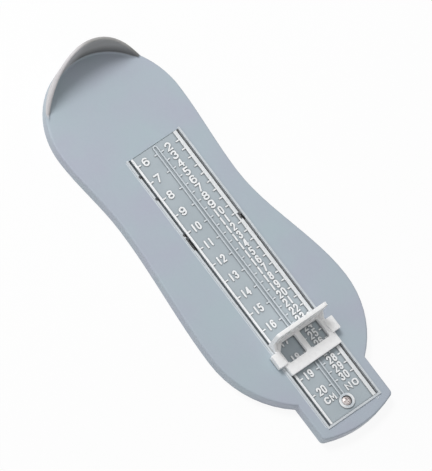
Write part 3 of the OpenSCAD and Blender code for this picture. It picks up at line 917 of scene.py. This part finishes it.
def set_word(bm, word, reading, start_y, width, gap, high=figure_high):
    """Adds a word whose middle is at a reading and whose first edge is at start_y."""
    tall = high - 2 * stroke_half
    wide = width - 2 * stroke_half
    for place_in_word, sign in enumerate(word):
        left = start_y + place_in_word * (width + gap)
        for order, (line, closed) in enumerate(figures[sign]):
            def place(p, height, left=left, order=order):
                return Vector((scale_zero_x + reading - p.y, scale_axis_y + left + p.x,
                               face_z + height - order * lower_each))
            flat = [Vector((stroke_half + x * wide, (y - 0.5) * tall)) for x, y in line]
            raise_stroke(bm, flat, closed, place)


def raised_words(name, words):
    """A piece of raised words on the panel."""
    bm = bmesh.new()
    for word in words:
        set_word(bm, *word)
    finished_piece(name, bm, panel_finish)


print("figures are", round(figure_high / mm, 1), "mm high")

# %% [markdown]
# ## The two rows
# One row counts centimetres and the other counts sizes, two to each centimetre. Two-figure
# numbers use narrower figures that nearly touch, which is how the maker fitted the close
# row. Each number could be set against its tick by hand, but a loop works out every place,
# and a change of height or gap reaches them all.

# %% The two rows
cm = 10 * mm
wide_figure, narrow_figure = 3.45 * mm, 2.45 * mm
first_cm, last_cm = 6, 20
towards_heel = 0.08 * mm
# A 1 fills less of its box, so a number that starts with it begins this much further out
one_further_out = 0.5 * mm
# Where one figure starts, where two start, and the gap between the two
cm_row = (-10.15 * mm, -10.4 * mm, 0.25 * mm)
size_row = (4.25 * mm, 3.85 * mm, 0.32 * mm)
# A size is twice the length in centimetres, less ten
sizes_per_cm, size_offset = 2, 10
first_size = sizes_per_cm * first_cm - size_offset
last_size = sizes_per_cm * last_cm - size_offset


def numbered(number, reading, row):
    """What set_word needs for one number of a row."""
    single_y, double_y, double_gap = row
    word, middle = str(number), reading - towards_heel
    if len(word) == 1:
        return word, middle, single_y, wide_figure, 0
    start_y = double_y if word[0] == "1" else double_y + one_further_out
    return word, middle, start_y, narrow_figure, double_gap


raised_words("cm_numbers", [numbered(n, n * cm, cm_row)
                            for n in range(first_cm, last_cm + 1)])
raised_words("size_numbers", [numbered(n, (n + size_offset) * cm / sizes_per_cm, size_row)
                              for n in range(first_size, last_size + 1)])

# %% [markdown]
# ## The unit letters
# Beyond the last tick each row ends with the name of what it counts: centimetres on one
# side and the shoe number on the other. Text objects would look printed beside the cut
# figures, so the letters come from the same tool and are only a little smaller.

# %% Unit letters
letters_reading = 205.6 * mm
letter_high = 3.8 * mm
# Word, reading, start, width and gap of its letters, height
raised_words("unit_letters", [
    ("CM", letters_reading, -9.6 * mm, 3.1 * mm, 0.35 * mm, letter_high),
    ("NO", letters_reading, 3.6 * mm, 3.4 * mm, 0.8 * mm, letter_high),
])

# %% [markdown]
# ## Marks of the mould
# Where the plastic was fed in, a small ring is left on the tail, just past the end of the
# arch slot, and the pins that pushed the plate out of the mould left flat discs inside the
# shell. Both are round, so one profile turned about an upright axis makes either. A plain
# cylinder would leave out the soft edge that tells the eye they are moulded and not glued on.

# %% Turned marks
turned_steps = 24
turns = [2 * math.pi * k / turned_steps for k in range(turned_steps)]


def turned_marks(name, profile, centres, way=1):
    """Copies of a profile of (radius, height) turned about upright axes; way -1 hangs them."""
    bm = bmesh.new()
    for centre in centres:
        rings = [[bm.verts.new(centre + Vector((radius * math.cos(t), radius * math.sin(t),
                                                way * height))) for t in turns]
                 for radius, height in profile]
        for low, high in zip(rings, rings[1:]):
            wall_between(bm, low, high)
        bm.faces.new(rings[0])
        bm.faces.new(rings[-1])
    finished_piece(name, bm, plate_finish)


gate_ring = [(0.85 * mm, -0.1 * mm), (0.85 * mm, 0.05 * mm), (0.70 * mm, 0.16 * mm),
             (0.50 * mm, 0.16 * mm), (0.30 * mm, 0.04 * mm)]
gate_place = Vector((panel_high.x + 1.9 * mm, scale_axis_y + 13.9 * mm, plate_top))
turned_marks("gate_mark", gate_ring, [gate_place])

pin_disc = [(2.0 * mm, -0.2 * mm), (2.0 * mm, 0.06 * mm), (1.85 * mm, 0.12 * mm)]
skin = 2.0 * mm
pin_z = plate_top - skin
plate_start_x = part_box("sole_plate")[0].x
# Along the plate from its heel end, and across it from the scale's middle line, in mm
pin_grid = [(14, -18), (14, 8), (40, -30), (40, 18), (92, -30),
            (118, 23), (144, -31), (170, 29), (196, -19), (196, 19)]
pin_places = [Vector((plate_start_x + along * mm, scale_axis_y + across * mm, pin_z))
              for along, across in pin_grid]
turned_marks("ejector_marks", pin_disc, pin_places, way=-1)
